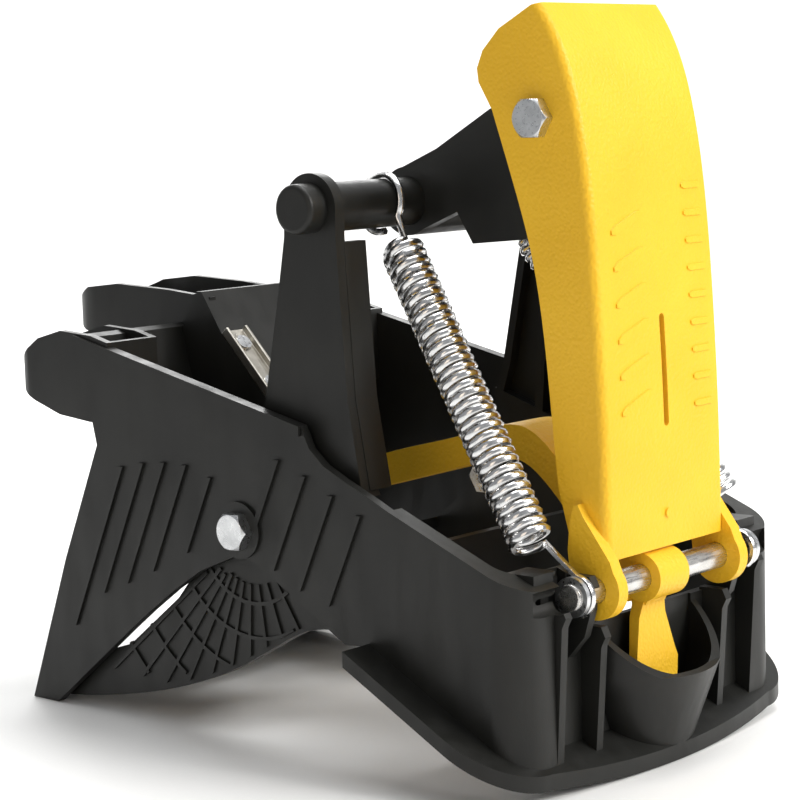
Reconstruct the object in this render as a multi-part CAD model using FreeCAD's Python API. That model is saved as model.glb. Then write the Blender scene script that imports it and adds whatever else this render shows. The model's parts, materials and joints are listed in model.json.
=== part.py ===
"""Foot-set mole trap: a moulded frame with fixed claws, a spring-driven jaw on two bolts,
a foot pedal on a cross shaft, a toggle link between them, and a trigger in the tunnel.

Millimetres, +Z up, +X towards the pedal hinge, Y across.  The trap stands on its two claw tips
and on the bowed end of its base flange.  It is drawn about the jaw pivot and moved by MIDDLE_X at
the end, so that the origin is on the table under its middle.  Shown sprung: jaw closed, pedal up.
"""
import FreeCAD, Part
import math
import os

V = FreeCAD.Vector

# ---- driving dimensions --------------------------------------------------------------------
MIDDLE_X = 5.25                   # from the drawing's zero to the origin, along X
JAW_X, JAW_Z = 0.5, 68.5          # jaw pivot axis, along Y
SHAFT_X, SHAFT_Z = 111.9, 56.8    # pedal hinge shaft axis, along Y
BAR_X, BAR_Z = 30.0, 168.0        # spring bar axis on top of the jaw towers
PIN_X, PIN_Z = 91.2, 193.0        # pedal bolt axis, where the link pulls

HALF_W = 67.0                     # outer face of the side walls
WALL = 3.0                        # moulded wall thickness
HALF_FLANGE = 78.5                # outer edge of the base flange
FLANGE_BOW = 118.5                # furthest X of the bowed flange end
FLANGE_CORNER_X = 113.0           # X where the bowed end meets the flange corners
FLANGE_LEFT = 53.0                # left end of the base flange
FLANGE_SLOPE = 0.53               # fall of the base per mm of X
RIM_SLOPE = 0.405                 # fall of the box rim per mm of X
END_OUT = 106.0                   # outer face of the recessed box end wall
CORNER_OUT = 111.0                # end face of the box corners beside the recess
RECESS_HALF = 48.5                # half width of the recess
BOX_LEFT = 55.0                   # outer face of the box's tunnel-side cross wall

JAW_OUT, JAW_T = 62.0, 4.0        # jaw side plates: outer face and thickness
TOWER_FLANGE = 9.0                # how far the tower's front flange reaches inwards

BAR_R, BAR_HALF = 7.5, 69.5
CORE_R, CORE_HALF = 3.0, 60.0
BOLT_R = 3.15                     # 1/4 inch bolt shank
HEX_FLAT = 11.1                   # 7/16 inch across flats
HEAD_T = 3.9
NUT_T = 5.4
BUSH_R = 5.5
RUN_FIT = 0.05                    # radial running fit

TRIGGER_Y = -3.5                  # middle of the trigger's knuckle and tongue
PEDAL_HALF = 30.5
EYE_OUT, EYE_T = 33.6, 4.4         # pedal eyes: outer face and thickness
PEDAL_WALL = 3.0
SHAFT_R, SHAFT_HALF = 4.0, 43.0
LINK_HALF = 18.0
SLOT_IN, SLOT_OUT = -4.9, 0.0     # ends of the slot for the pedal bolt, along the link
SLOT_RISE, SLOT_R = -1.1, 4.7     # its offset across the link, and half its width

SPRING_R, WIRE_R = 7.0, 1.2
SPRING_TOP_Y = 30.0               # upper hook, on the bar
SPRING_LOW_Y = 42.0               # lower hook, on the shaft
SPRING_AIM_Y = 51.3               # where the coil axis would meet the shaft
COIL_FROM_BAR, COIL_FROM_SHAFT = 14.6, 17.6
NUT_GAP = 0.7                     # between a jaw nut and the jaw plate


# ---- helpers -------------------------------------------------------------------------------
def box(x0, x1, y0, y1, z0, z1):
    return Part.makeBox(x1 - x0, y1 - y0, z1 - z0, V(x0, y0, z0))


def slab(points, y0, y1):
    """A closed outline in the XZ plane, extruded from y0 to y1."""
    corners = [V(x, y0, z) for x, z in points]
    face = Part.Face(Part.makePolygon(corners + corners[:1]))
    return face.extrude(V(0, y1 - y0, 0))


def curved_slab(runs, y0, y1):
    """As slab, from runs of points joined end to end; a run of three or more is one smooth curve."""
    edges = []
    ends = [runs[i][0] for i in range(len(runs))]
    for i, run in enumerate(runs):
        following = ends[(i + 1) % len(runs)]
        points = [V(x, y0, z) for x, z in run]
        if len(points) > 2:
            curve = Part.BSplineCurve()
            curve.interpolate(points)
            edges.append(curve.toShape())
        elif len(points) == 2:
            edges.append(Part.LineSegment(*points).toShape())
        if run[-1] != following:
            edges.append(Part.LineSegment(points[-1], V(following[0], y0, following[1])).toShape())
    return Part.Face(Part.Wire(edges)).extrude(V(0, y1 - y0, 0))


def rod(x, z, radius, y0, y1):
    """A cylinder along Y."""
    return Part.makeCylinder(radius, y1 - y0, V(x, y0, z), V(0, 1, 0))


def hexagon(x, z, flat, y0, y1):
    """A hexagonal prism along Y, with a corner pointing up."""
    radius = flat / math.sqrt(3)
    turns = [math.radians(30 + 60 * i) for i in range(6)]
    return slab([(x + radius * math.sin(t), z + radius * math.cos(t)) for t in turns], y0, y1)


def wire_of(points, closed_arcs=()):
    """A closed wire of straight runs; closed_arcs names middle points of arcs by run number."""
    arcs = dict(closed_arcs)
    edges = []
    for i, a in enumerate(points):
        b = points[(i + 1) % len(points)]
        edges.append(Part.Arc(a, arcs[i], b).toShape() if i in arcs else Part.LineSegment(a, b).toShape())
    return Part.Wire(edges)


def both_sides(shape):
    return shape.fuse(shape.mirror(V(0, 0, 0), V(0, 1, 0)))


def under(line_x, line_z, slope, below=True):
    """A big solid under (or over) the plane z = line_z - slope * (x - line_x)."""
    far = 400.0
    left, right = (line_x - far, line_z + slope * far), (line_x + far, line_z - slope * far)
    edge = -1000.0 if below else 1000.0
    return slab([left, right, (right[0], edge), (left[0], edge)], -200, 200)


def turned(shape, degrees, x, z):
    """The shape turned about an axis along Y; positive turns +X towards +Z."""
    copy = shape.copy()
    copy.rotate(V(x, 0, z), V(0, -1, 0), degrees)
    return copy


def flange_z(x):
    return 34.2 - FLANGE_SLOPE * (x - 54.1)


def rim_z(x):
    return 81.6 - RIM_SLOPE * (x - 58.9)


NODES = {}


# ---- frame: one black moulding -------------------------------------------------------------
CLAW_TIP = (-103.5, 0.0)
CLAW_MID = (-83.5, 50.0)
CLAW_BEND = (-65.0, 90.1)
RAIL_LEFT = (-73.3, 125.9)
RAIL_RIGHT = (28.0, 103.0)
V_LEFT = [(-2.0, 60.0), (-18.1, 53.5), (-30.2, 46.0), (-42.5, 37.4), (-54.2, 28.6), (-91.0, 0.0)]
V_RIGHT = [(43.6, 38.0), (6.6, 59.0)]


def side_wall():
    """Outline of one wall: claw, rail, step down to the box rim, and the inverted V below."""
    outline = [CLAW_TIP, CLAW_MID, CLAW_BEND, RAIL_LEFT, RAIL_RIGHT, (31.3, 96.3),
               (36.9, 91.6), (44.5, 88.0), (56.2, 83.0), (62.0, rim_z(62.0)), (70.0, rim_z(70.0)),
               (70.0, flange_z(70.0) + 4), (FLANGE_LEFT + 2, flange_z(FLANGE_LEFT) + 4)]
    outline += V_RIGHT + V_LEFT
    return slab(outline, -HALF_W, -HALF_W + WALL)


def wall_ribs():
    """Slanted stiffening ribs, parallel to the claw's outer edge."""
    lean = (-0.43, -0.90)
    tops = [(-53, 84, 62), (-43, 86, 50), (-33, 87, 46), (-23, 87, 40), (-12, 84, 28),
            (18, 92, 34), (29, 88, 34), (40, 83, 34), (51, 78, 32)]
    ribs = []
    for x, z, length in tops:
        end = (x + lean[0] * length, z + lean[1] * length)
        ribs.append(slab([(x - 1.1, z), (x + 1.1, z), (end[0] + 1.1, end[1]), (end[0] - 1.1, end[1])],
                         -HALF_W - 1.0, -HALF_W + 0.5))
    rail = slab([(RAIL_LEFT[0], RAIL_LEFT[1]), (RAIL_RIGHT[0], RAIL_RIGHT[1]),
                 (RAIL_RIGHT[0], RAIL_RIGHT[1] - 3), (RAIL_LEFT[0], RAIL_LEFT[1] - 3)],
                -HALF_W - 1.0, -HALF_W + 0.5)
    return ribs + [rail]


def plan_prism(x0, x1, half, radius, z0, z1, bow=0.0):
    """A footprint with rounded right corners and an optional bowed right end, extruded in Z."""
    s = radius * (1 - math.sqrt(0.5))
    points = [V(x0, -half, z0), V(x1 - radius, -half, z0), V(x1, -half + radius, z0),
              V(x1, half - radius, z0), V(x1 - radius, half, z0), V(x0, half, z0)]
    arcs = {1: V(x1 - s, -half + s, z0), 3: V(x1 - s, half - s, z0)}
    if bow:
        arcs[2] = V(x1 + bow, 0, z0)
    return Part.Face(wire_of(points, arcs)).extrude(V(0, 0, z1 - z0))


def box_shell():
    outer = plan_prism(BOX_LEFT, CORNER_OUT, HALF_W, 12.0, -20, 120)
    inner = plan_prism(BOX_LEFT + WALL, CORNER_OUT - WALL, HALF_W - WALL, 9.0, -21, 121)
    shell = outer.cut(inner).cut(box(END_OUT, 130, -RECESS_HALF, RECESS_HALF, -21, 121))
    shell = shell.fuse(box(END_OUT - WALL, END_OUT, -RECESS_HALF - WALL, RECESS_HALF + WALL, -20, 120))
    rim = under(58.9, rim_z(58.9), RIM_SLOPE)
    floor = under(54.1, flange_z(54.1), FLANGE_SLOPE)
    shell = shell.common(rim).cut(floor)
    low_middle = box(END_OUT - 4, END_OUT + 6, -37, 37, 45, 100)
    low_left = box(BOX_LEFT - 1, BOX_LEFT + WALL + 0.5, -HALF_W + WALL, HALF_W - WALL, 66, 120)
    lip_out = plan_prism(62.0, CORNER_OUT, HALF_W, 12.0, -20, 120)
    lip_out = lip_out.cut(box(END_OUT, 130, -RECESS_HALF, RECESS_HALF, -21, 121))
    lip_in = plan_prism(55.0, END_OUT - 3.5, HALF_W - 6.5, 8.0, -21, 121)
    lip = lip_out.cut(lip_in).common(rim).cut(under(58.9, rim_z(58.9) - 2.6, RIM_SLOPE))
    return shell.fuse(lip).cut(low_middle).cut(low_left)


def base_flange():
    """A sloping ledge round the box foot with a turned-down lip, bowed at the end."""
    bow = FLANGE_BOW - FLANGE_CORNER_X
    outer = plan_prism(FLANGE_LEFT, FLANGE_CORNER_X, HALF_FLANGE, 22.0, -40, 80, bow)
    inside = plan_prism(FLANGE_LEFT + WALL, FLANGE_CORNER_X - WALL, HALF_FLANGE - WALL, 19.0, -41, 81, bow)
    hollow = plan_prism(BOX_LEFT + WALL, END_OUT - WALL, HALF_W - WALL, 9.0, -41, 81)
    lip = outer.cut(inside)
    lip = lip.common(under(54.1, flange_z(54.1) + 4.8, FLANGE_SLOPE)).cut(
        under(54.1, flange_z(54.1), FLANGE_SLOPE))
    ledge = outer.cut(hollow).common(under(54.1, flange_z(54.1) + 4.8, FLANGE_SLOPE)).cut(
        under(54.1, flange_z(54.1) + 2.2, FLANGE_SLOPE))
    return lip.fuse(ledge)


def end_ribs():
    """Upright ribs on the box end, leaning outwards, and two lugs that carry the shaft."""
    ribs = []
    for y, top in ((-51.5, 55.0), (-33.0, 46.0), (30.0, 46.0), (48.5, 55.0)):
        rib = slab([(END_OUT - 1, 0), (110.5, 0), (113.5, top - 6), (115.0, top - 3), (113.5, top),
                    (END_OUT - 1, top)], y, y + 3.0)
        ribs.append(rib.cut(under(54.1, flange_z(54.1) + 2.0, FLANGE_SLOPE)))
    lug = slab([(END_OUT - 1, 36), (112.0, 44), (114.5, 52), (115.5, 59), (114.0, 62), (END_OUT - 1, 62)], -39, -36)
    return ribs + [both_sides(lug)]


def scoop_solid(grow, z0, z1):
    """Half-round pocket on the end wall, flaring upwards."""
    sections = []
    for z, half, reach in ((0.0, 14.5, 12.0), (28.0, 26.5, 21.0), (56.0, 26.5, 21.0)):
        h, r = half + grow, reach + grow
        a, m, b = V(END_OUT - 1, -h, z), V(END_OUT - 1 + r, 0, z), V(END_OUT - 1, h, z)
        q = 0.7071
        curve = Part.BSplineCurve()
        curve.interpolate([a, V(END_OUT - 1 + r * q, -h * q, z), m, V(END_OUT - 1 + r * q, h * q, z), b])
        sections.append(Part.Wire([curve.toShape(), Part.LineSegment(b, a).toShape()]))
    solid = Part.makeLoft(sections, True, True)
    return solid.common(box(0, 200, -60, 60, z0, z1))


def scoop():
    outer = scoop_solid(0.0, 0.5, 54.0)
    lean = slab([(END_OUT - 4, 46), (END_OUT + 2, 41), (122.0, 28.5), (140, 25), (140, 90),
                 (END_OUT - 4, 90)], -60, 60)
    return outer.cut(lean)


def scoop_room():
    """What is taken out: the pocket and the notch that opens the end wall above it."""
    return scoop_solid(-2.6, 6.0, 70.0)


def foot_ear():
    """Rounded side ear at the claw end: its nose falls away and its top is dished."""
    def lobe(shrink):
        x0, x1, y0, y1 = -107.0 + shrink, -58.0, -HALF_W + shrink, -45.0 - shrink
        points = [V(x1, y0, 80), V(x1, y1, 80), V(x0 + 9, y1, 80), V(x0 + 9, y0, 80)]
        return Part.Face(wire_of(points, {2: V(x0, (y0 + y1) / 2, 80)})).extrude(V(0, 0, 70))
    side = slab([(-58, 124), (-66, 126), (-81, 127), (-92.5, 124), (-101, 118.5), (-106, 114),
                 (-107.5, 111), (-103, 106.5), (-95.4, 103), (-82.9, 99), (-67.7, 97.5), (-58, 98)], -80, -30)
    return lobe(0).common(side).cut(lobe(2.6).cut(under(-73.3, 120.0, -0.30)))


def centre_tray():
    """Rounded tray between the ears, for the other foot while the pedal is pressed."""
    def lobe(shrink):
        x0, x1, half = -136.5 + shrink, -58.0, 20.0 - shrink
        points = [V(x1, -half, 90), V(x1, half, 90), V(x0 + 20, half, 90), V(x0 + 20, -half, 90)]
        return Part.Face(wire_of(points, {2: V(x0, 0, 90)})).extrude(V(0, 0, 70))
    side = slab([(-58, 135), (-80, 137), (-105, 138.2), (-121, 136.5), (-132, 131.5), (-136.5, 127),
                 (-134, 123.5), (-124, 121), (-108, 119.5), (-90, 117.5), (-58, 114)], -30, 30)
    return lobe(0).common(side).cut(lobe(2.6).cut(under(-90.0, 127.0, 0.02)))


LATCH_TOP, LATCH_FOOT = (-51.0, 123.2), (-29.5, 101.0)


def latch_block():
    """Two gussets and an inclined face that carries the steel latch strips."""
    gusset = slab([(-76, 112), (-60, 137), LATCH_TOP, LATCH_FOOT, (-30, 98), (-66, 98)], -22, -19)
    face = slab([(-62.5, 137), (-60, 137), LATCH_TOP, LATCH_FOOT, (-32.5, 99.7), (-54, 121.6)], -22, 22)
    back = slab([(-76, 112), (-64, 136), (-60, 137), (-72, 110)], -22, 22)
    return [both_sides(gusset), face, back]


def claw_wall():
    """The fixed jaw: a wall between the two claws, arched open over the tunnel."""
    t = WALL
    outline = [CLAW_TIP, CLAW_MID, CLAW_BEND, RAIL_LEFT, (RAIL_LEFT[0] + t, RAIL_LEFT[1] - 1),
               (CLAW_BEND[0] + t, 90.0), (CLAW_MID[0] + t, 49.0), (CLAW_TIP[0] + t + 1, 0.0)]
    wall = slab(outline, -HALF_W + 0.5, HALF_W - 0.5)
    arch = Part.makeCylinder(46.0, 120, V(-140, 0, 12), V(1, 0, 0))
    arch = arch.fuse(box(-140, -20, -46, 46, -5, 12))
    return wall.cut(arch)


def frame():
    body = both_sides(side_wall())
    pieces = [both_sides(r) for r in wall_ribs()]
    pieces += [box_shell(), base_flange(), scoop(), claw_wall(), both_sides(foot_ear()), centre_tray()]
    pieces += end_ribs() + latch_block()
    pads = box(98.0, 108.0, -57.0, -47.0, 58.0, 64.5)
    pieces.append(both_sides(pads))
    body = body.multiFuse(pieces)
    for cutter in (scoop_room(),
                   rod(SHAFT_X, SHAFT_Z, SHAFT_R, -60, 60),
                   box(SHAFT_X - 10.5, SHAFT_X + 12, -34.4, 34.4, SHAFT_Z - 10.0, SHAFT_Z + 30),
                   both_sides(rod(SHAFT_X, SHAFT_Z, 7.6, 39.6, SHAFT_HALF + 5)),
                   both_sides(box(SHAFT_X - 9, SHAFT_X + 8, -44.4, -39.6, SHAFT_Z, SHAFT_Z + 20)),
                   rod(JAW_X, JAW_Z, BOLT_R, -80, 80)):
        body = body.cut(cutter)
    boss = both_sides(rod(JAW_X, JAW_Z, 9.0, -HALF_W - 1.0, -HALF_W + 1.0))
    body = body.fuse(boss).cut(rod(JAW_X, JAW_Z, BOLT_R, -80, 80))
    return body.removeSplitter()


# ---- moving jaw ----------------------------------------------------------------------------
BLADE = [(-12, 62), (-26, 51), (-34, 42.0), (-58, 23.5), (-66, 21), (-95.0, 1.2)]
SECTOR_EDGE = [(-95.0, 1.2), (-80, 2.8), (-62, 5.8), (-44, 9.8), (-26, 15.2), (-8, 22.5), (8, 31.0),
               (19.5, 37.0), (37.7, 40)]


def jaw_plate():
    """One side of the jaw: sector below the pivot and tapered tower above it."""
    front = [(47, 58), (48.0, 82), (43, 111), (40.2, 160)]
    back = [(19.0, 159), (15.9, 143), (8.7, 109), (2, 92), (-8, 78)]
    runs = [SECTOR_EDGE] + [[p] for p in front]
    runs += [[(BAR_X + 10.5, BAR_Z)], [(BAR_X - 10.5, BAR_Z)]]
    runs += [[p] for p in back] + [[p] for p in BLADE[:-1]]
    plate = curved_slab(runs, -JAW_OUT, -JAW_OUT + JAW_T)
    eye = rod(BAR_X, BAR_Z, 10.5, -JAW_OUT, -JAW_OUT + JAW_T)
    hub = rod(JAW_X, JAW_Z, 11.0, -JAW_OUT, -JAW_OUT + JAW_T)
    return plate.multiFuse([eye, hub])


def tower_flanges():
    """Front flange and inner ribs of one tower."""
    y0, y1 = -JAW_OUT + JAW_T - 0.5, -JAW_OUT + JAW_T + TOWER_FLANGE
    front = slab([(44.5, 84), (48.0, 84), (43.2, 111), (40.4, 158), (37.4, 158), (39.8, 111)], y0, y1)
    mid = slab([(22, 92), (25.5, 92), (30.5, 156), (27.5, 156)], y0, y1 - 5)
    back = slab([(5, 98), (8.4, 98), (12, 109), (19, 143), (22, 157), (19, 157), (16, 143), (8.9, 109)],
                y0, y1 - 5)
    foot = slab([(5, 96), (5, 100), (46, 86), (48, 82), (44, 82)], y0, y1 - 5)
    return [front, mid, back, foot]


def sector_grid():
    """Raised grid on the outside of the sector: spokes from the pivot and concentric arcs."""
    y0, y1 = -JAW_OUT - 0.8, -JAW_OUT + 0.5
    inside = [(x, z + 1.5) for x, z in SECTOR_EDGE]
    field = curved_slab([inside, [(34, 62)], [(-10, 62)], [(-30, 44)], [(-58, 24)], [(-84, 8)]], y0, y1)
    ribs = []
    for angle, near, far in ((212, 26, 96), (219, 26, 86), (226, 20, 76), (233, 20, 69), (240, 18, 62),
                             (248, 18, 55), (257, 18, 50), (267, 18, 46), (278, 18, 42), (290, 18, 39),
                             (303, 18, 38)):
        spoke = box(JAW_X + near, JAW_X + far, y0, y1, JAW_Z - 0.6, JAW_Z + 0.6)
        ribs.append(turned(spoke, angle, JAW_X, JAW_Z))
    for radius, start, stop in ((24, 205, 310), (35, 208, 300), (47, 212, 262), (60, 212, 238),
                                (73, 213, 227)):
        ring = rod(JAW_X, JAW_Z, radius + 0.6, y0, y1).cut(rod(JAW_X, JAW_Z, radius - 0.6, y0 - 1, y1 + 1))
        fan = [(JAW_X, JAW_Z)]
        for i in range(5):
            turn = math.radians(start + (stop - start) * i / 4)
            fan.append((JAW_X + 150 * math.cos(turn), JAW_Z + 150 * math.sin(turn)))
        ribs.append(ring.common(slab(fan, y0 - 1, y1 + 1)))
    return [rib.common(field) for rib in ribs]


def jaw_web():
    """The striking blade between the side plates, notched in the middle for the trigger."""
    half = JAW_OUT - 0.5
    top = [(x, z - 0.1) for x, z in BLADE[1:]]
    under_side = [(-92.0, 1.6), (-66, 17.5), (-58, 20.0), (-34, 38.0), (-26, 47.0)]
    web = slab(top + under_side, -half, half)
    notch = box(-62, 0, -24, 24, 15, 70)
    return web.cut(notch)


def moving_jaw():
    plates = both_sides(jaw_plate())
    pieces = [both_sides(f) for f in tower_flanges()] + [both_sides(r) for r in sector_grid()]
    body = plates.multiFuse(pieces + [jaw_web()])
    body = body.cut(rod(JAW_X, JAW_Z, BUSH_R, -90, 90)).cut(rod(BAR_X, BAR_Z, BAR_R, -90, 90))
    return body.removeSplitter()


# ---- spring bar, link, pedal, trigger -------------------------------------------------------
def spring_bar():
    bar = rod(BAR_X, BAR_Z, BAR_R, -BAR_HALF, BAR_HALF)
    ends = [e for e in bar.Edges if e.Curve.TypeId == "Part::GeomCircle"]
    return bar.makeFillet(1.5, ends).cut(rod(BAR_X, BAR_Z, CORE_R, -CORE_HALF, CORE_HALF))


def link():
    """Yoke on the middle of the spring bar; its far end holds the pedal bolt in a slot."""
    reach = math.hypot(PIN_X - BAR_X, PIN_Z - BAR_Z)
    angle = math.degrees(math.atan2(PIN_Z - BAR_Z, PIN_X - BAR_X))
    sleeve = rod(0, 0, BAR_R + 3.2, -LINK_HALF, LINK_HALF)
    arm = [(0, 10.4), (17.7, 10.2), (42, 12.9), (reach - 6, 12.0), (reach + 1, 9.0), (reach + 4.6, 5),
           (reach + 6.0, 0), (reach + 6.0, -3), (reach + 3.6, -8), (reach - 3, -16), (50, -24.5), (38.9, -28.0),
           (19.5, -21.8), (17.6, -10.6), (0, -10.4)]
    plates = both_sides(slab(arm, -LINK_HALF, -LINK_HALF + 4))
    top = slab([(4, 10.2), (17.7, 10.2), (42, 12.9), (reach - 7, 12.0), (reach - 7, 9.0), (42, 9.8),
                (17.7, 7.2), (4, 7.2)], -LINK_HALF, LINK_HALF)
    low = slab([(17.6, -10.6), (19.5, -21.8), (38.9, -28.0), (50, -24.5), (reach - 3, -16), (reach - 4.5, -13.2),
                (49, -21.4), (38.9, -24.8), (22, -19.4), (20.4, -10.6)], -LINK_HALF, LINK_HALF)
    web = slab([(9, -2), (reach - 14, -2), (reach - 14, 1), (9, 1)], -LINK_HALF, LINK_HALF)
    body = sleeve.multiFuse([plates, top, low, web])
    body = body.cut(rod(0, 0, BAR_R + RUN_FIT, -90, 90))
    slot = rod(reach + SLOT_IN, SLOT_RISE, SLOT_R, -90, 90).fuse(
        rod(reach + SLOT_OUT, SLOT_RISE, SLOT_R, -90, 90)).fuse(
        box(reach + SLOT_IN, reach + SLOT_OUT, -90, 90, SLOT_RISE - SLOT_R, SLOT_RISE + SLOT_R))
    body = body.cut(slot)
    body.rotate(V(0, 0, 0), V(0, -1, 0), angle)
    body.translate(V(BAR_X, 0, BAR_Z))
    return body.removeSplitter()


PEDAL_FACE = [(114.4, 64.8), (113.9, 104.0), (111.9, 145.0), (109.8, 170.0), (106.3, 193.0),
              (101.2, 211.0), (92.8, 226.0)]
PEDAL_BACK = [(75.2, 195.6), (83.8, 170.5), (88.4, 155.0), (93.2, 125.9), (97.1, 85.0)]


def pedal():
    """Arched channel: a face plate between two side flanges, open at the back, with two eyes."""
    t = PEDAL_WALL
    top = [[(90.5, 225.4)], [(78.3, 219.1)], [(72.1, 213.0)], [(69.8, 207.9)], [(70.3, 203.8)]]
    outer = curved_slab([PEDAL_FACE] + top + [PEDAL_BACK, [(102.5, 64.8)]], -PEDAL_HALF, PEDAL_HALF)
    long_edges = [e for e in outer.Edges if e.BoundBox.YLength < 0.1 and e.BoundBox.ZLength > 150]
    outer = outer.makeFillet(3.0, long_edges)
    inner_face = [(x - t, z - t * i / 12) for i, (x, z) in enumerate(PEDAL_FACE)]
    inner_face[-1] = (91.5, 222.0)
    inner = [inner_face, [(85.5, 219.0)], [(82.0, 232.0)], [(55.0, 232.0)], [(55.0, 60.0)], [(111.4, 60.0)]]
    hollow = curved_slab(inner, -PEDAL_HALF + t + 0.4, PEDAL_HALF - t - 0.4)
    ears = []
    for y0 in (-EYE_OUT, EYE_OUT - EYE_T):
        ears.append(rod(SHAFT_X, SHAFT_Z, 8.8, y0, y0 + EYE_T))
        ears.append(slab([(SHAFT_X - 8.7, SHAFT_Z + 1), (102.4, 68), (103.2, 76), (104.6, 81), (106.2, 81.5),
                          (108.2, 78), (SHAFT_X + 5.5, SHAFT_Z + 9), (SHAFT_X + 8.7, SHAFT_Z + 1)],
                         y0, y0 + EYE_T))
    body = outer.cut(hollow).multiFuse(ears)
    body = body.cut(rod(SHAFT_X, SHAFT_Z, SHAFT_R + RUN_FIT, -90, 90))
    body = body.cut(rod(PIN_X, PIN_Z, BOLT_R, -90, 90))
    slot = box(100, 130, -0.5, 2.0, 102.2, 133.3)
    for z in (102.2, 133.3):
        slot = slot.fuse(Part.makeCylinder(1.25, 30, V(100, 0.75, z), V(1, 0, 0)))
    gate = Part.makeCylinder(1.4, 3.2, V(SHAFT_X, 0.0, 75.0), V(1, 0, 0))
    return body.cut(slot).fuse(gate).removeSplitter()


def trigger():
    """Knuckle on the shaft, flared tongue in the scoop, arched arm and the pan over the tunnel."""
    mid = TRIGGER_Y
    knuckle = rod(SHAFT_X, SHAFT_Z, 7.4, mid - 7.5, mid + 7.5)
    neck = slab([(105.0, 60), (106.8, 48), (112.0, 48), (114.0, 52)], mid - 5, mid + 5)
    tongue = slab([(107.4, 50), (107.2, 44), (109.0, 33), (111.6, 21.5), (114.1, 21.9), (112.0, 33),
                   (110.8, 44), (111.6, 50)], mid - 12, mid + 12)
    flare = [(-4.5, 52), (4.5, 52), (10.5, 30), (7.5, 21), (-7.5, 21), (-10.5, 30), (-4.5, 52)]
    flare = Part.Face(Part.makePolygon([V(90, mid + y, z) for y, z in flare])).extrude(V(40, 0, 0))
    top = [(108, 60.5), (97, 71.5), (88, 81.8), (78.5, 92.2), (68.5, 98.6), (55, 97.6), (40.5, 93.4), (18.9, 88.1),
           (-5, 81.0), (-24, 75)]
    low = [(-24, 71), (-4, 76), (20.3, 82.5), (42, 88.4), (56, 92.2), (66, 92.6), (75, 87.2), (84.5, 77.4),
           (94, 66), (106, 53)]
    arm = curved_slab([top, low], -10, 10)
    skirt = [(x + 0.5, z - 4.5) for x, z in low]
    ribs = both_sides(curved_slab([top, skirt], -10, -7.5))
    pan = slab([(-24, 75), (-20, 73), (-26, 62), (-39, 42), (-42, 44), (-30, 64)], -14, 14)
    body = knuckle.multiFuse([neck, tongue.common(flare), arm, ribs, pan])
    return body.cut(rod(SHAFT_X, SHAFT_Z, SHAFT_R + RUN_FIT, -90, 90)).removeSplitter()


# ---- steel parts ----------------------------------------------------------------------------
def hinge_shaft():
    bar = rod(SHAFT_X, SHAFT_Z, SHAFT_R, -SHAFT_HALF - 3, SHAFT_HALF + 3)
    ends = [e for e in bar.Edges if e.Curve.TypeId == "Part::GeomCircle"]
    return bar.makeFillet(0.8, ends)


def shaft_clip(side):
    y = SHAFT_HALF + 0.4
    y0 = y if side > 0 else -y - 1.6
    return rod(SHAFT_X, SHAFT_Z, SHAFT_R + 1.9, y0, y0 + 1.6).cut(rod(SHAFT_X, SHAFT_Z, SHAFT_R, -90, 90))


def bolt(x, z, head_face, tip):
    """Hex bolt along Y: head outside head_face, shank ending at tip."""
    out = -1 if head_face < tip else 1
    far = head_face + out * HEAD_T
    head = hexagon(x, z, HEX_FLAT, min(head_face, far), max(head_face, far))
    cone_r = HEX_FLAT / math.sqrt(3)
    chamfer = Part.makeCone(cone_r - 1.0, cone_r + 6.0, 7.0, V(x, far, z), V(0, -out, 0))
    head = head.common(chamfer.fuse(rod(x, z, cone_r + 1, *sorted((head_face, far - out * 1.2)))))
    return head.fuse(rod(x, z, BOLT_R, min(head_face, tip), max(head_face, tip)))


def nut(x, z, y0):
    body = hexagon(x, z, HEX_FLAT, y0, y0 + NUT_T)
    return body.cut(rod(x, z, BOLT_R, y0 - 1, y0 + NUT_T + 1))


def jaw_bush(side):
    """Flanged bush pressed in the jaw plate; the bolt turns in it."""
    tube = rod(JAW_X, JAW_Z, BUSH_R, -JAW_OUT, -JAW_OUT + JAW_T + 0.4)
    collar = rod(JAW_X, JAW_Z, 8.0, -JAW_OUT - 1.6, -JAW_OUT)
    body = tube.fuse(collar).cut(rod(JAW_X, JAW_Z, BOLT_R + RUN_FIT, -90, 0))
    return body if side < 0 else body.mirror(V(0, 0, 0), V(0, 1, 0))


def pedal_spacers():
    ring = rod(PIN_X, PIN_Z, 6.0, -PEDAL_HALF + PEDAL_WALL + 0.4, -LINK_HALF - 0.4)
    return both_sides(ring.cut(rod(PIN_X, PIN_Z, BOLT_R, -90, 90)))


STRIP_Y, STRIP_HALF, STRIP_LENGTH = 17.0, 5.0, 30.5


def latch_strip():
    """A pair of bent steel channels lying on the inclined face, with raised edges."""
    base = box(0, STRIP_LENGTH, STRIP_Y - STRIP_HALF, STRIP_Y + STRIP_HALF, 0, 1.2)
    for y in (STRIP_Y - STRIP_HALF, STRIP_Y + STRIP_HALF - 1.2):
        base = base.fuse(box(0, STRIP_LENGTH, y, y + 1.2, 0, 3.2))
    for x in (6.0, 24.0):
        base = base.cut(Part.makeCylinder(1.6, 20, V(x, STRIP_Y, -5), V(0, 0, 1)))
    return Part.makeCompound([on_incline(base), on_incline(base.mirror(V(0, 0, 0), V(0, 1, 0)))])


def on_incline(shape):
    """Place a shape drawn along +X onto the latch block's inclined face."""
    slope = math.degrees(math.atan2(LATCH_FOOT[1] - LATCH_TOP[1], LATCH_FOOT[0] - LATCH_TOP[0]))
    placed = shape.copy()
    placed.rotate(V(0, 0, 0), V(0, -1, 0), slope)
    placed.translate(V(LATCH_TOP[0], 0, LATCH_TOP[1]))
    return placed


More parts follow.
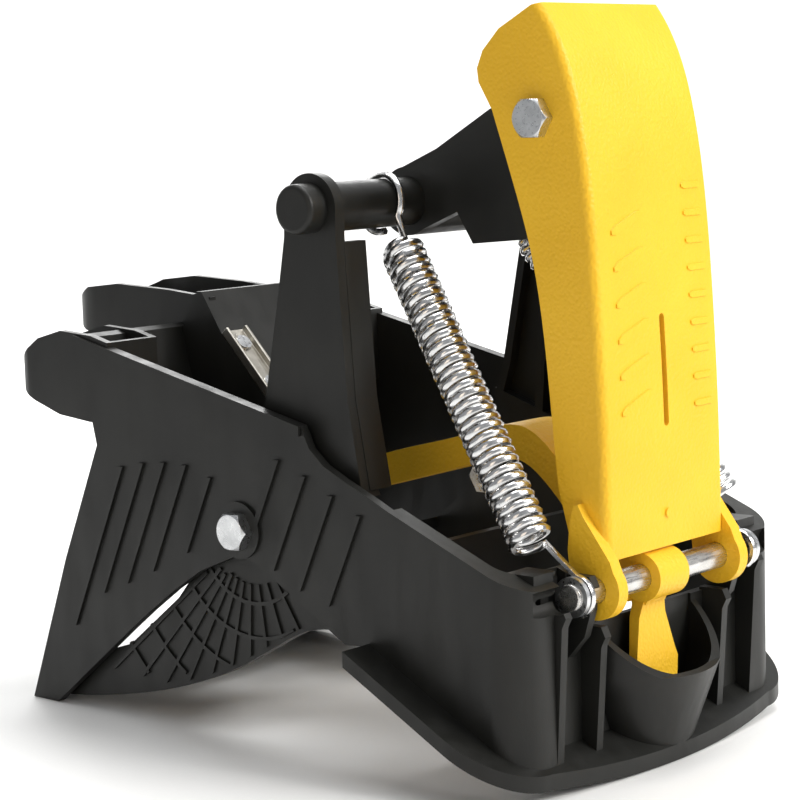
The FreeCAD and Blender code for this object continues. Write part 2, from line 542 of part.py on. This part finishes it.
def latch_rivets():
    rivets = []
    for x in (6.0, 24.0):
        for y in (-STRIP_Y, STRIP_Y):
            stem = Part.makeCylinder(1.6, 1.2, V(x, y, 0), V(0, 0, 1))
            head = Part.makeCylinder(2.8, 1.0, V(x, y, 1.2), V(0, 0, 1))
            rivets.append(on_incline(stem.fuse(head)))
    return Part.makeCompound(rivets)


def spring_line(side):
    """The coil's axis, from the bar towards the shaft: its start, its direction and its length."""
    top = V(BAR_X, side * SPRING_TOP_Y, BAR_Z)
    run = V(SHAFT_X, side * SPRING_AIM_Y, SHAFT_Z) - top
    return top, V(run).normalize(), run.Length


def hook_ring(x, y, z, held_r):
    """A closed ring of spring wire round a bar of radius held_r that lies along Y."""
    return Part.makeTorus(held_r + WIRE_R + 0.3, WIRE_R, V(x, y, z), V(0, 1, 0))


def spring(side):
    """Envelope of one extension spring's coil, with its lower end and the hook round the shaft."""
    top, along, length = spring_line(side)
    coil_end = length - COIL_FROM_SHAFT
    start = top + along * COIL_FROM_BAR
    coil = Part.makeCylinder(SPRING_R, coil_end - COIL_FROM_BAR, start, along)
    wall = 2 * WIRE_R
    bore = Part.makeCylinder(SPRING_R - wall, coil_end - COIL_FROM_BAR - 2 * wall, start + along * wall, along)
    foot = V(SHAFT_X, side * SPRING_LOW_Y, SHAFT_Z)
    inner_edge = top + along * (coil_end - 1.2) - V(0, side * (SPRING_R - WIRE_R), 0)
    leg_run = foot - inner_edge
    leg_length = leg_run.Length - (SHAFT_R + WIRE_R + 0.3)
    leg = Part.makeCylinder(WIRE_R, leg_length, inner_edge, leg_run)
    return coil.cut(bore).multiFuse([leg, hook_ring(foot.x, foot.y, foot.z, SHAFT_R)])


def spring_hook(side):
    """Upper end of one spring: the straight wire and the hook round the bar."""
    top, along, length = spring_line(side)
    ring_r = BAR_R + WIRE_R + 0.3
    leg = Part.makeCylinder(WIRE_R, COIL_FROM_BAR - ring_r - 0.3, top + along * ring_r, along)
    return leg.fuse(hook_ring(BAR_X, side * SPRING_TOP_Y, BAR_Z, BAR_R))


# ---- everything ------------------------------------------------------------------------------
NODES["frame"] = frame()
NODES["moving_jaw"] = moving_jaw()
NODES["spring_bar"] = spring_bar()
NODES["spring_bar_core"] = rod(BAR_X, BAR_Z, CORE_R, -CORE_HALF, CORE_HALF)
NODES["link"] = link()
NODES["pedal"] = pedal()
NODES["trigger"] = trigger()
NODES["hinge_shaft"] = hinge_shaft()
NODES["pedal_bolt"] = bolt(PIN_X, PIN_Z, -PEDAL_HALF, PEDAL_HALF + NUT_T + 1.5)
NODES["pedal_nut"] = nut(PIN_X, PIN_Z, PEDAL_HALF)
NODES["pedal_spacers"] = pedal_spacers()
NODES["latch_strip"] = latch_strip()
NODES["latch_rivets"] = latch_rivets()
for name, side in (("near", -1), ("far", 1)):
    tip = side * (JAW_OUT - JAW_T - NUT_GAP - NUT_T - 1.0)
    nut_y = side * (JAW_OUT - JAW_T - NUT_GAP)
    NODES["jaw_bolt_" + name] = bolt(JAW_X, JAW_Z, side * (HALF_W + 1.0), tip)
    NODES["jaw_nut_" + name] = nut(JAW_X, JAW_Z, nut_y if side < 0 else nut_y - NUT_T)
    NODES["jaw_bush_" + name] = jaw_bush(side)
    NODES["shaft_clip_" + name] = shaft_clip(side)
    NODES["spring_" + name] = spring(side)
    NODES["spring_hook_" + name] = spring_hook(side)

os.makedirs("parts", exist_ok=True)
for name, shape in NODES.items():
    shape.translate(V(MIDDLE_X, 0, 0))
    print(name, "valid", shape.isValid(), "solids", len(shape.Solids), "volume", round(shape.Volume))
    shape.exportStep("parts/" + name + ".step")
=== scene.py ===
"""Looks of the foot-set mole trap: materials, moulded edges, coil springs, floor, light and camera.

Lengths are in metres. +X points towards the pedal hinge, +Y across the trap, +Z up.
"""
import json
import math

import bmesh
import bpy
from mathutils import Matrix, Vector
from mathutils.bvhtree import BVHTree


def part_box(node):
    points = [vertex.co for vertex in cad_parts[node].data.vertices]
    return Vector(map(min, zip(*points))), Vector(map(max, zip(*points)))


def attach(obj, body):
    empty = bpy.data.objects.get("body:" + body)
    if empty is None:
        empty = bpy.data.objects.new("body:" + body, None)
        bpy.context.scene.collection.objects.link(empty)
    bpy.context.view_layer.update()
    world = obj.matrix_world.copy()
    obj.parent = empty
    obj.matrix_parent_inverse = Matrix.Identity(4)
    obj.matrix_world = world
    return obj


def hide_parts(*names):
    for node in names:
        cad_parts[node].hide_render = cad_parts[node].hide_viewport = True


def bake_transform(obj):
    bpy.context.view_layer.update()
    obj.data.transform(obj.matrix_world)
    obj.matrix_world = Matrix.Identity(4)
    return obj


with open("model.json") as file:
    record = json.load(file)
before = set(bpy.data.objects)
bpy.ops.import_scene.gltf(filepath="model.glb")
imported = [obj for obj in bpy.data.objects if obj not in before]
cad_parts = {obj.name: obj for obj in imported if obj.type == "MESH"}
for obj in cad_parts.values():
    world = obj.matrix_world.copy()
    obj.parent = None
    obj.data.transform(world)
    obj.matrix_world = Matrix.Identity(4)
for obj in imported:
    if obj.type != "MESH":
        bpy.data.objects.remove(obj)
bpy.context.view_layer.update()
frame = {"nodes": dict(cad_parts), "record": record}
nodes = frame["nodes"]


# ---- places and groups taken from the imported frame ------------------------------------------
def middle(node):
    low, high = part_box(node)
    return (low + high) / 2


def body_of(node):
    groups = frame["record"]["behaviour"]["bodies"]
    return next(body for body, members in groups.items() if node in members)


SHAFT = middle("hinge_shaft")
BAR = middle("spring_bar")
SLOTS = {s["node"]: s["material_slot"] for s in frame["record"]["subparts"]}


# ---- materials --------------------------------------------------------------------------------
class Nodes:
    """A material's node tree, with short calls to add and link nodes."""

    def __init__(self, name):
        self.material = bpy.data.materials.new(name)
        self.material.use_nodes = True
        self.tree = self.material.node_tree
        self.shader = self.tree.nodes["Principled BSDF"]
        self.place = self.add("ShaderNodeTexCoord").outputs["Object"]

    def add(self, kind, **values):
        node = self.tree.nodes.new(kind)
        for key, value in values.items():
            setattr(node, key, value)
        return node

    def link(self, source, target):
        self.tree.links.new(source, target)

    def noise(self, scale, detail=2.0, place=None):
        node = self.add("ShaderNodeTexNoise")
        node.inputs["Scale"].default_value = scale
        node.inputs["Detail"].default_value = detail
        node.inputs["Roughness"].default_value = 0.5
        self.link(place or self.place, node.inputs["Vector"])
        return node.outputs["Fac"]

    def cells(self, scale, smoothness):
        node = self.add("ShaderNodeTexVoronoi", feature="SMOOTH_F1")
        node.inputs["Scale"].default_value = scale
        node.inputs["Smoothness"].default_value = smoothness
        self.link(self.place, node.inputs["Vector"])
        return node.outputs["Distance"]

    def ramp(self, factor, stops):
        """Two colours spread over a factor; each stop is a position and a colour."""
        node = self.add("ShaderNodeValToRGB")
        for element, (position, colour) in zip(node.color_ramp.elements, stops):
            element.position = position
            element.color = (*colour, 1.0)
        self.link(factor, node.inputs["Fac"])
        return node.outputs["Color"]

    def spread(self, factor, low, high):
        """The middle of a noise's range, 0.3 to 0.7, laid out from low to high."""
        node = self.add("ShaderNodeMapRange")
        node.inputs["From Min"].default_value = 0.3
        node.inputs["From Max"].default_value = 0.7
        node.inputs["To Min"].default_value = low
        node.inputs["To Max"].default_value = high
        self.link(factor, node.inputs["Value"])
        return node.outputs["Result"]

    def stretched(self, scale):
        node = self.add("ShaderNodeMapping")
        node.inputs["Scale"].default_value = scale
        self.link(self.place, node.inputs["Vector"])
        return node.outputs["Vector"]

    def bump(self, height, distance, strength, below=None):
        node = self.add("ShaderNodeBump")
        node.inputs["Distance"].default_value = distance
        node.inputs["Strength"].default_value = strength
        self.link(height, node.inputs["Height"])
        if below is not None:
            self.link(below, node.inputs["Normal"])
        return node.outputs["Normal"]

    def set(self, **values):
        for key, value in values.items():
            self.shader.inputs[key.replace("_", " ")].default_value = value

    def out(self, **links):
        for key, source in links.items():
            self.link(source, self.shader.inputs[key.replace("_", " ")])
        return self.material


def black_plastic():
    """Glass-filled moulded plastic: near black, slightly warm, with grey bloom and fine grain."""
    m = Nodes("black_plastic")
    bloom = m.noise(34.0, 3.0)
    streaks = m.noise(150.0, place=m.stretched((1.0, 1.0, 0.22)))
    grain = m.noise(3000.0)
    dark, pale = (0.0085, 0.0086, 0.0076), (0.0150, 0.0150, 0.0130)
    m.set(IOR=1.45, Specular_IOR_Level=0.40)
    return m.out(
        Base_Color=m.ramp(bloom, [(0.30, dark), (0.72, pale)]),
        Roughness=m.spread(streaks, 0.36, 0.50),
        Normal=m.bump(grain, 0.00004, 0.7, m.bump(bloom, 0.0004, 0.25)))


def yellow_plastic():
    """Bright yellow moulded plastic with a pebbled grain."""
    m = Nodes("yellow_plastic")
    tone = m.noise(26.0, 3.0)
    pebble = m.cells(900.0, 0.8)
    fine = m.noise(2200.0)
    deep, bright = (0.80, 0.455, 0.016), (0.87, 0.515, 0.024)
    m.set(IOR=1.46, Specular_IOR_Level=0.40)
    return m.out(
        Base_Color=m.ramp(tone, [(0.30, deep), (0.72, bright)]),
        Roughness=m.spread(fine, 0.42, 0.54),
        Normal=m.bump(fine, 0.00004, 0.7, m.bump(pebble, 0.00030, 0.65)))


def metal(name, low, high, rough, brushed=(1.0, 1.0, 1.0), scale=900.0):
    """Bare or plated metal, clouded between two tones; brushed stretches its fine lines."""
    m = Nodes(name)
    cloud = m.noise(220.0, 3.0)
    lines = m.noise(scale, 3.0, m.stretched(brushed))
    m.set(Metallic=1.0)
    return m.out(
        Base_Color=m.ramp(cloud, [(0.30, low), (0.70, high)]),
        Roughness=m.spread(lines, rough - 0.07, rough + 0.09),
        Normal=m.bump(lines, 0.00002, 0.7))


MATERIALS = {
    "black_plastic": black_plastic(),
    "yellow_plastic": yellow_plastic(),
    "steel": metal("steel", (0.55, 0.54, 0.52), (0.70, 0.69, 0.67), 0.28,
                   (1.0, 0.08, 1.0), 2200.0),
    "zinc_steel": metal("zinc_steel", (0.58, 0.59, 0.60), (0.76, 0.77, 0.78), 0.30),
    "strip_steel": metal("strip_steel", (0.52, 0.49, 0.43), (0.68, 0.65, 0.58), 0.33,
                         (0.1, 1.0, 0.1), 1500.0),
    "spring_steel": metal("spring_steel", (0.66, 0.66, 0.66), (0.84, 0.84, 0.84), 0.20),
    "bush_brass": metal("bush_brass", (0.52, 0.38, 0.16), (0.66, 0.50, 0.24), 0.34),
}


def paint(obj, slot):
    obj.data.materials.clear()
    obj.data.materials.append(MATERIALS[slot])


# ---- object and mesh helpers --------------------------------------------------------------------
def new_object(name, data):
    obj = bpy.data.objects.new(name, data)
    bpy.context.scene.collection.objects.link(obj)
    return obj


def shaped_mesh(obj):
    """A new mesh of the object with its modifiers, or its curve's thickness, applied."""
    graph = bpy.context.evaluated_depsgraph_get()
    return bpy.data.meshes.new_from_object(obj.evaluated_get(graph))


def bake(piece):
    """Make the modifiers' result the piece's own mesh."""
    shaped = shaped_mesh(piece)
    piece.modifiers.clear()
    piece.data = shaped


def smooth(piece, angle):
    """Smooth shading, with edges sharper than the angle in degrees kept crisp."""
    mesh = piece.data
    mesh.polygons.foreach_set("use_smooth", [True] * len(mesh.polygons))
    work = bmesh.new()
    work.from_mesh(mesh)
    limit = math.radians(angle)
    for edge in work.edges:
        edge.smooth = not (len(edge.link_faces) == 2 and edge.calc_face_angle(0.0) > limit)
    work.to_mesh(mesh)
    work.free()


# ---- coil springs -------------------------------------------------------------------------------
WIRE_R = 0.00122
COIL_R = 0.00575                 # to the middle of the wire
COILS = 36
COIL_STEPS = 28                  # points in one turn
HOOK_Y, RING_Y = 0.030, 0.042    # upper hook on the spring bar, lower ring on the shaft
AIM_Y = 0.0513                   # where the coil's axis would cross the shaft
COIL_FROM_BAR, COIL_FROM_SHAFT = 0.0146, 0.0176
HOOK_R = 0.0075 + WIRE_R + 0.0002    # bar radius, wire radius and a little play
RING_R = 0.0040 + WIRE_R + 0.0002    # shaft radius, wire radius and a little play


def wire(name, points):
    """A round spring wire that follows the points, with closed ends."""
    curve = bpy.data.curves.new(name, "CURVE")
    curve.dimensions = "3D"
    curve.bevel_depth = WIRE_R
    curve.bevel_resolution = 1
    curve.use_fill_caps = True
    spline = curve.splines.new("POLY")
    spline.points.add(len(points) - 1)
    for point, place in zip(spline.points, points):
        point.co = (*place, 1.0)
    line = new_object(name + "_line", curve)
    mesh = shaped_mesh(line)
    bpy.data.objects.remove(line)
    piece = new_object(name, mesh)
    smooth(piece, 60)
    paint(piece, "spring_steel")
    return piece


def coil_spring(side, name):
    """One extension spring: a hook over the bar, close coils, a leg and a ring on the shaft."""
    top = Vector((BAR.x, side * HOOK_Y, BAR.z))
    aim = Vector((SHAFT.x, side * AIM_Y, SHAFT.z))
    ring = Vector((SHAFT.x, side * RING_Y, SHAFT.z))
    along = (aim - top).normalized()
    across = along.cross(Vector((0, 1, 0))).normalized()
    out = along.cross(across).normalized()
    down = Vector((along.x, 0, along.z)).normalized()

    def arc(centre, start, radius, first, sweep, steps):
        """Points round a centre, from the first angle in degrees through the sweep."""
        turns = [math.radians(first + sweep * i / steps) for i in range(steps + 1)]
        return [centre - start * (radius * math.cos(turn)) + across * (radius * math.sin(turn))
                for turn in turns]

    points = arc(top, along, HOOK_R, -160, 312, 28)
    points.append(top + along * 0.0112 + across * 0.0034)
    coil_start = top + along * (COIL_FROM_BAR + WIRE_R)
    coil_end = aim - along * (COIL_FROM_SHAFT + WIRE_R)
    turns = COILS + 0.25 * side
    count = int(turns * COIL_STEPS)
    for i in range(count + 1):
        turn = 2 * math.pi * turns * i / count
        radius = COIL_R * min(1.0, 0.45 + 0.55 * i / (COIL_STEPS * 0.6))
        centre = coil_start.lerp(coil_end, i / count)
        points.append(centre + across * (radius * math.cos(turn)) + out * (radius * math.sin(turn)))
    points += arc(ring, down, RING_R, 40, 290, 24)
    piece = wire("spring_coil_" + name, points)
    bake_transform(piece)
    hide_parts("spring_" + name, "spring_hook_" + name)


for side, name in ((-1, "near"), (1, "far")):
    coil_spring(side, name)


# ---- moulded edges --------------------------------------------------------------------------------
WELD = 2e-6                      # vertices closer than this are one


def rounded_copy(node, name, width):
    """The node's own shape with its sharp edges rounded; it stands for the node."""
    work = bmesh.new()
    work.from_mesh(nodes[node].data)
    bmesh.ops.remove_doubles(work, verts=work.verts, dist=WELD)
    bmesh.ops.dissolve_degenerate(work, dist=WELD, edges=work.edges)
    mesh = bpy.data.meshes.new(name)
    work.to_mesh(mesh)
    work.free()
    piece = new_object(name, mesh)
    bevel = piece.modifiers.new("edges", "BEVEL")
    bevel.width = width
    bevel.segments = 3
    bevel.limit_method = "ANGLE"
    bevel.angle_limit = math.radians(30)
    bevel.use_clamp_overlap = True
    bake(piece)
    smooth(piece, 33)
    weighted = piece.modifiers.new("normals", "WEIGHTED_NORMAL")
    weighted.keep_sharp = True
    bake(piece)
    paint(piece, SLOTS[node])
    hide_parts(node)
    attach(piece, body_of(node))


EDGE_WIDTHS = {
    "frame": 0.0006, "moving_jaw": 0.0006, "link": 0.0008, "pedal": 0.0010, "trigger": 0.0007,
    "latch_strip": 0.0003, "pedal_bolt": 0.0003, "jaw_bolt_near": 0.0003, "jaw_bolt_far": 0.0003,
}
for node, width in EDGE_WIDTHS.items():
    rounded_copy(node, node + "_moulding", width)


# ---- raised grip bars on the pedal's face -----------------------------------------------------------
def surface_of(node):
    """A search tree of a node's surface, in world coordinates."""
    work = bmesh.new()
    work.from_mesh(nodes[node].data)
    work.transform(nodes[node].matrix_world)
    tree = BVHTree.FromBMesh(work)
    work.free()
    return tree


def grip_bars():
    """Two columns of low moulded bars beside the slot: slanted on one side, short on the other."""
    surface = surface_of("pedal")
    outside = 0.3                # past the pedal's face, where the search back to it starts
    sunk, raised, chamfer = 0.0003, 0.0005, 0.0004
    steps = 8

    def face_x(y, z):
        return surface.ray_cast(Vector((outside, y, z)), Vector((-1, 0, 0)))[0].x

    # each bar: its two ends in y, its height, its rise from end to end, and half its width
    bars = [(-0.0215, -0.0065, 0.107 + 0.0105 * i, 0.0050, 0.0016) for i in range(6)]
    bars += [(0.0155, 0.0255, 0.106 + 0.0082 * i, 0.0, 0.0013) for i in range(9)]
    mesh = bmesh.new()
    for y0, y1, z, rise, half in bars:
        rings = []
        for i in range(steps + 1):
            share = i / steps
            y, mid = y0 + (y1 - y0) * share, z + rise * share
            edge = half * (0.55 if i in (0, steps) else 1.0)
            low, top = face_x(y, mid - edge), face_x(y, mid + edge)
            inner = edge - chamfer
            rings.append([mesh.verts.new(v) for v in (
                (low - sunk, y, mid - edge), (low + raised, y, mid - inner),
                (top + raised, y, mid + inner), (top - sunk, y, mid + edge))])
        for a, b in zip(rings, rings[1:]):
            for i in range(4):
                mesh.faces.new((a[i], a[(i + 1) % 4], b[(i + 1) % 4], b[i]))
        mesh.faces.new(rings[0])
        mesh.faces.new(reversed(rings[-1]))
    bmesh.ops.recalc_face_normals(mesh, faces=mesh.faces)
    data = bpy.data.meshes.new("pedal_grip_bars")
    mesh.to_mesh(data)
    mesh.free()
    piece = new_object("pedal_grip_bars", data)
    smooth(piece, 50)
    paint(piece, "yellow_plastic")
    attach(piece, "pedal")


grip_bars()

# the nodes that nothing replaces keep their own shape and take the same materials
for node, obj in nodes.items():
    if not obj.hide_render:
        obj.data.materials.clear()
        obj.data.materials.append(MATERIALS[SLOTS[node]])


# ---- floor, light and camera --------------------------------------------------------------------
def floor_paint():
    m = Nodes("floor_paint")
    speckle = m.noise(900.0)
    colour = (0.86, 0.86, 0.85)
    low = tuple(c * 0.985 for c in colour)
    m.set(Roughness=0.7)
    return m.out(Base_Color=m.ramp(speckle, [(0.3, low), (0.7, colour)]))


def floor():
    """A pale sweep: flat under the object, curving up into a backdrop far behind it."""
    front, back, half_width, height = -3.0, 1.6, 4.0, 3.2
    bend, steps = 0.7, 12
    run = [(front, 0.0), (back, 0.0)]
    for i in range(1, steps + 1):
        turn = math.pi / 2 * i / steps
        run.append((back + bend * math.sin(turn), bend * (1 - math.cos(turn))))
    run.append((back + bend, height))
    below = 0.0002               # a hair under the object's feet
    points = [(x, d, z - below) for d, z in run for x in (-half_width, half_width)]
    faces = [(2 * i, 2 * i + 1, 2 * i + 3, 2 * i + 2) for i in range(len(run) - 1)]
    mesh = bpy.data.meshes.new("floor")
    mesh.from_pydata(points, [], faces)
    obj = new_object("floor", mesh)
    obj.rotation_euler.z = math.radians(41.6)
    mesh.materials.append(floor_paint())
    mesh.polygons.foreach_set("use_smooth", [True] * len(mesh.polygons))


def area_light(name, place, size, power, colour=(1, 1, 1), target=(0.0, 0.0, 0.1)):
    """A rectangular lamp; it faces the middle of the trap unless it has another target."""
    data = bpy.data.lights.new(name, "AREA")
    data.shape = "RECTANGLE"
    data.size, data.size_y = size
    data.energy = power
    data.color = colour
    obj = new_object(name, data)
    obj.location = place
    obj.rotation_euler = (Vector(target) - Vector(place)).to_track_quat("-Z", "Y").to_euler()


def camera():
    data = bpy.data.cameras.new("camera")
    data.lens, data.sensor_width = 103.5, 36.0
    data.clip_start, data.clip_end = 0.01, 20.0
    obj = new_object("camera", data)
    right = Vector((0.7499, 0.6610, -0.0282)).normalized()
    back = Vector((0.6585, -0.7416, 0.1283)).normalized()
    up = back.cross(right).normalized()
    right = up.cross(back).normalized()
    turn = Matrix((right, up, back)).transposed().to_4x4()
    obj.matrix_world = Matrix.Translation((0.50986, -0.55834, 0.19857)) @ turn
    bpy.context.scene.camera = obj


def sky():
    world = bpy.data.worlds.new("studio")
    bpy.context.scene.world = world
    world.use_nodes = True
    background = world.node_tree.nodes["Background"]
    background.inputs["Color"].default_value = (0.95, 0.97, 1.0, 1.0)
    background.inputs["Strength"].default_value = 0.34


floor()
camera()
area_light("key", (1.35, 0.50, 0.95), (0.8, 0.8), 25.0, (1.0, 0.985, 0.96))
area_light("front", (0.55, -1.5, 0.55), (0.7, 0.9), 2.4, (1.0, 0.84, 0.68))
area_light("top", (0.1, 0.15, 1.5), (1.1, 1.1), 10.0)
area_light("rim", (-1.0, 0.9, 0.9), (0.8, 0.8), 8.0)
area_light("backdrop", (-0.35, 0.55, 1.9), (1.6, 1.0), 42.0, target=(-1.7, 1.7, 0.5))
sky()
bpy.context.scene.view_settings.view_transform = "Standard"
